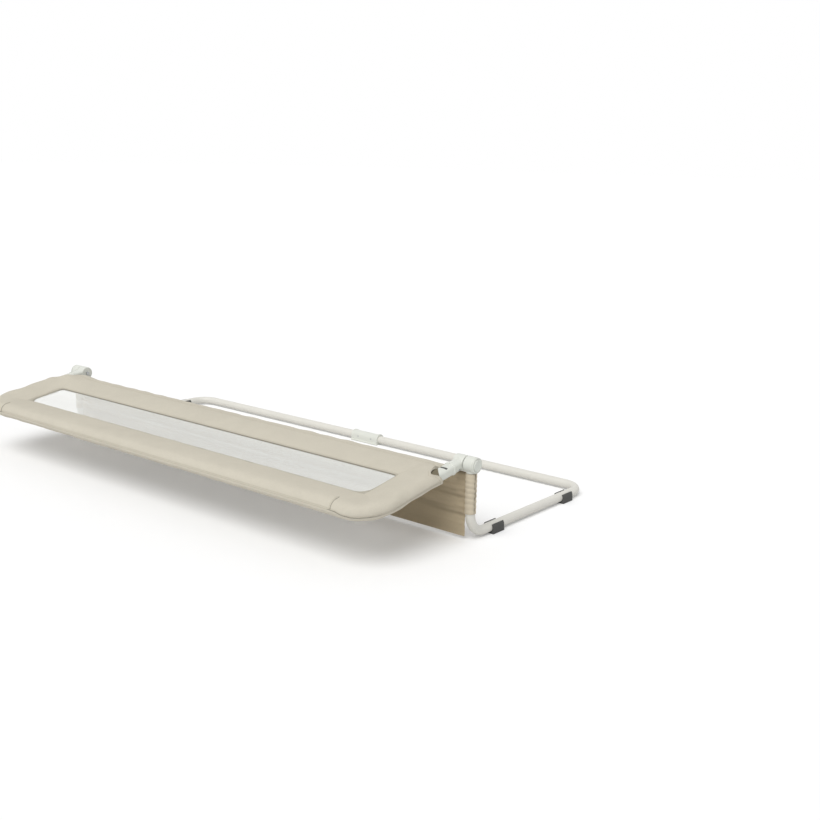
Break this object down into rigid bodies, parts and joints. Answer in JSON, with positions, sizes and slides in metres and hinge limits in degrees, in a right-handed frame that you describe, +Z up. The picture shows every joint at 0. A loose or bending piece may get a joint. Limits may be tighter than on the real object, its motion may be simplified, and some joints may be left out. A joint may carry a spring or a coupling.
{
  "type": "folding bed guard rail",
  "caption": "Padded bed guard rail with a net window on two locking hinges; it folds down outward from a U-shaped base that lies under the mattress.",
  "frame": {"origin": "middle of the footprint, on the plane under the foot pads and the rear coupler", "axes": "+X along the rail, +Y from the hinges into the bed under the mattress, +Z up; the folded guard hangs out over the bed's edge towards -Y"},
  "size_m": [1.5, 0.8218, 0.193],
  "materials": {
    "hinge_plastic": "moulded white, satin",
    "button_plastic": "moulded white, satin",
    "lock_plastic": "moulded grey",
    "tube_paint": "powder coated off-white",
    "zinc": "zinc plated",
    "spring_steel": "bright drawn wire",
    "cover_fabric": "beige woven fabric over thin padding",
    "skirt_fabric": "tan unpadded fabric",
    "net_fabric": "pale see-through net",
    "pad_rubber": "matt grey"
  },
  "bodies": {
    "base": {"base_tube_left": "tube_paint", "base_tube_right": "tube_paint", "rear_coupler": "hinge_plastic", "coupler_pin_left": "zinc", "coupler_pin_right": "zinc", "foot_pad_front_left": "pad_rubber", "foot_pad_front_right": "pad_rubber", "foot_pad_rear_left": "pad_rubber", "foot_pad_rear_right": "pad_rubber", "hinge_bracket_left": "hinge_plastic", "hinge_bracket_right": "hinge_plastic", "bracket_pin_left": "zinc", "bracket_pin_right": "zinc", "hub_bezel_left": "hinge_plastic", "hub_bezel_right": "hinge_plastic", "button_spring_left": "spring_steel", "button_spring_right": "spring_steel", "pivot_bolt_left": "zinc", "pivot_bolt_right": "zinc", "pivot_nut_left": "zinc", "pivot_nut_right": "zinc", "upright_sleeve_left": "cover_fabric", "upright_sleeve_right": "cover_fabric", "cover_skirt": "skirt_fabric", "hinge_flap": "cover_fabric"},
    "guard": {"arm_shell_inner_left": "hinge_plastic", "arm_shell_inner_right": "hinge_plastic", "arm_shell_outer_left": "hinge_plastic", "arm_shell_outer_right": "hinge_plastic", "arm_screw_left": "zinc", "arm_screw_right": "zinc", "lock_ring_left": "lock_plastic", "lock_ring_right": "lock_plastic", "lock_spring_left": "spring_steel", "lock_spring_right": "spring_steel", "corner_tube_left": "tube_paint", "corner_tube_right": "tube_paint", "top_tube": "tube_paint", "guard_cover": "cover_fabric", "mesh_window": "net_fabric"},
    "button_left": {"lock_button_left": "button_plastic"},
    "button_right": {"lock_button_right": "button_plastic"}
  },
  "joints": [
    {"name": "guard_fold", "type": "hinge", "parent": "base", "child": "guard", "pos_m": [0, -0.08711, 0.175], "axis": [-1, 0, 0], "range_deg": [0, 99.2]},
    {"name": "button_left_press", "type": "slide", "parent": "base", "child": "button_left", "axis": [1, 0, 0], "range_m": [0, 0.004], "stiffness_N_per_m": 800, "springref_m": -0.003, "deforming": ["button_spring_left"]},
    {"name": "button_right_press", "type": "slide", "parent": "base", "child": "button_right", "axis": [-1, 0, 0], "range_m": [0, 0.004], "stiffness_N_per_m": 800, "springref_m": -0.003, "deforming": ["button_spring_right"]}
  ]
}
